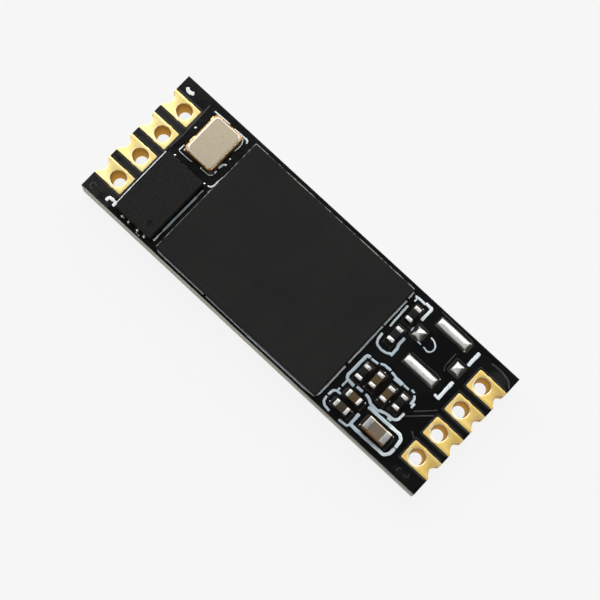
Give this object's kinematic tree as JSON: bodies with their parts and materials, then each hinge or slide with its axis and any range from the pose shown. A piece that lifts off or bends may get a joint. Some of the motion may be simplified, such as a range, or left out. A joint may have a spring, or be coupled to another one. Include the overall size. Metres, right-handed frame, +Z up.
{
  "type": "millimetre-wave radar module",
  "caption": "Slim black circuit board with gold castellated pin-hole contacts at both short ends, a large flat radar package, a crystal, a leadless chip and chip parts.",
  "frame": {"origin": "middle of the board's underside", "axes": "+X along the board from the crystal end to the connector end, +Y across it, +Z up through the parts"},
  "size_m": [0.0252, 0.0088, 0.0024],
  "materials": {
    "board_core": "glass-epoxy edge",
    "solder_mask": "glossy black film",
    "gold_plate": "gold plated",
    "copper_land": "plated copper",
    "solder": "bright solder",
    "mould_black": "matt moulding",
    "package_base": "package laminate",
    "crystal_ceramic": "fired ceramic",
    "gilt_ring": "gilt metal",
    "crystal_metal": "nickel-plated lid",
    "resistor_black": "glassy black",
    "capacitor_brown": "fired ceramic",
    "capacitor_grey": "fired ceramic",
    "tinned_cap": "tinned",
    "legend_ink": "pale printed ink"
  },
  "bodies": {
    "root": {"capacitor_1_body": "capacitor_brown", "capacitor_1_end_caps": "tinned_cap", "capacitor_2_body": "capacitor_brown", "capacitor_2_end_caps": "tinned_cap", "capacitor_3_body": "capacitor_brown", "capacitor_3_end_caps": "tinned_cap", "capacitor_4_body": "capacitor_brown", "capacitor_4_end_caps": "tinned_cap", "capacitor_5_body": "capacitor_grey", "capacitor_5_end_caps": "tinned_cap", "chip_part_solder": "solder", "component_lands": "copper_land", "connector_lands": "copper_land", "connector_solder_coats": "solder", "crystal_base": "crystal_ceramic", "crystal_lid": "crystal_metal", "crystal_seal_ring": "gilt_ring", "crystal_solder": "solder", "edge_contact_1": "gold_plate", "edge_contact_2": "gold_plate", "edge_contact_3": "gold_plate", "edge_contact_4": "gold_plate", "edge_contact_5": "gold_plate", "edge_contact_6": "gold_plate", "edge_contact_7": "gold_plate", "edge_contact_8": "gold_plate", "filled_vias": "solder", "glass_epoxy_board": "board_core", "legend_left": "legend_ink", "legend_radar": "legend_ink", "legend_right": "legend_ink", "memory_chip_body": "mould_black", "memory_chip_contacts": "tinned_cap", "memory_chip_solder": "solder", "radar_mould": "mould_black", "radar_solder_joints": "solder", "radar_substrate": "package_base", "resistor_1_body": "resistor_black", "resistor_1_end_caps": "tinned_cap", "resistor_2_body": "resistor_black", "resistor_2_end_caps": "tinned_cap", "resistor_3_body": "resistor_black", "resistor_3_end_caps": "tinned_cap", "resistor_4_body": "resistor_black", "resistor_4_end_caps": "tinned_cap", "solder_mask_bottom": "solder_mask", "solder_mask_top": "solder_mask"}
  },
  "joints": []
}
